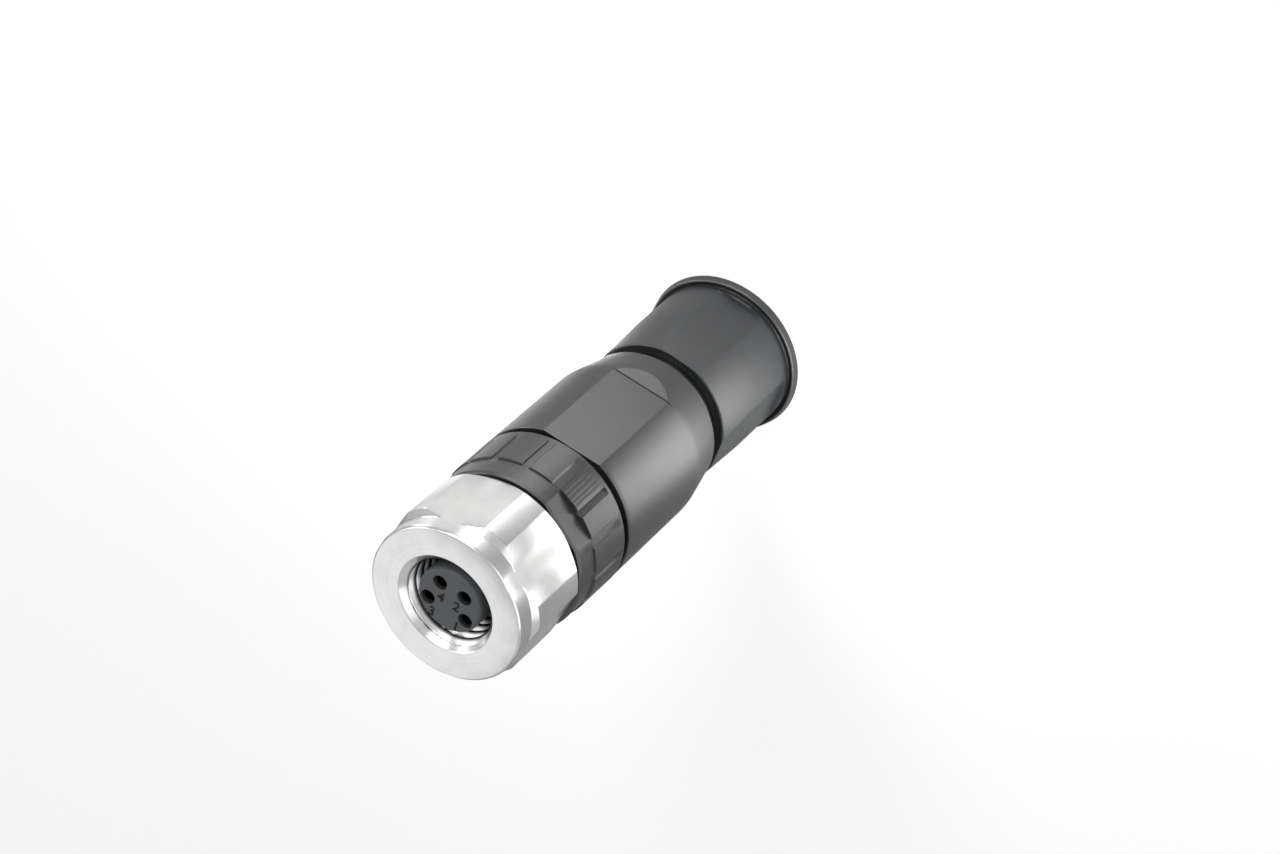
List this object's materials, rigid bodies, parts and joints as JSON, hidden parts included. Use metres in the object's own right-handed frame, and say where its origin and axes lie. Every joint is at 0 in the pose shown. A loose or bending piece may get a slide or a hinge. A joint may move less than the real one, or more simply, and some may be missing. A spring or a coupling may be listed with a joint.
{
  "type": "circular sensor connector",
  "caption": "Small round screw-on female sensor connector with a metal coupling nut, a flatted sleeve and a cable gland, wired in the field.",
  "frame": {"origin": "middle of the gland flange's standing face", "axes": "+Z along the connector's axis towards the mating face, -Y out of the housing's front flat"},
  "size_m": [0.0142, 0.0142, 0.0415],
  "materials": {
    "nickel_brass": "nickel plate, satin",
    "spring_steel": "plain",
    "seal_rubber": "matt",
    "black_plastic": "fine satin",
    "insert_plastic": "matt",
    "gold_contact": "gold plate"
  },
  "bodies": {
    "sleeve": {"housing": "black_plastic", "cable_seal": "seal_rubber"},
    "collar_carrier": {"collar_seal": "seal_rubber"},
    "front": {"front_collar": "black_plastic", "contact_insert": "insert_plastic", "terminal_block": "insert_plastic", "terminal_screws": "spring_steel", "nut_retaining_ring": "spring_steel", "nose_seal": "seal_rubber", "socket_contact_1": "gold_contact", "socket_contact_2": "gold_contact", "socket_contact_3": "gold_contact", "socket_contact_4": "gold_contact", "terminal_clamp_1": "nickel_brass", "terminal_clamp_2": "nickel_brass", "terminal_clamp_3": "nickel_brass", "terminal_clamp_4": "nickel_brass"},
    "nut": {"coupling_nut": "nickel_brass"},
    "cage": {"clamping_cage": "insert_plastic"},
    "gland": {"gland_nut": "black_plastic"}
  },
  "joints": [
    {"name": "collar_travel", "type": "slide", "parent": "sleeve", "child": "collar_carrier", "axis": [0, 0, 1], "range_m": [0, 0.003]},
    {"name": "collar_turn", "type": "hinge", "parent": "collar_carrier", "child": "front", "pos_m": [0, 0, 0.0269], "axis": [0, 0, 1], "range_deg": [0, 1080]},
    {"name": "nut_spin", "type": "hinge", "parent": "front", "child": "nut", "pos_m": [0, 0, 0.0375], "axis": [0, 0, 1], "continuous": true},
    {"name": "gland_travel", "type": "slide", "parent": "sleeve", "child": "cage", "axis": [0, 0, -1], "range_m": [0, 0.0035]},
    {"name": "gland_turn", "type": "hinge", "parent": "cage", "child": "gland", "pos_m": [0, 0, 0.005], "axis": [0, 0, -1], "range_deg": [0, 1260]}
  ],
  "couplings": [
    {"joint": "collar_turn", "follows": "collar_travel", "rad_per_m": 6283.2},
    {"joint": "gland_turn", "follows": "gland_travel", "rad_per_m": 6283.2}
  ]
}
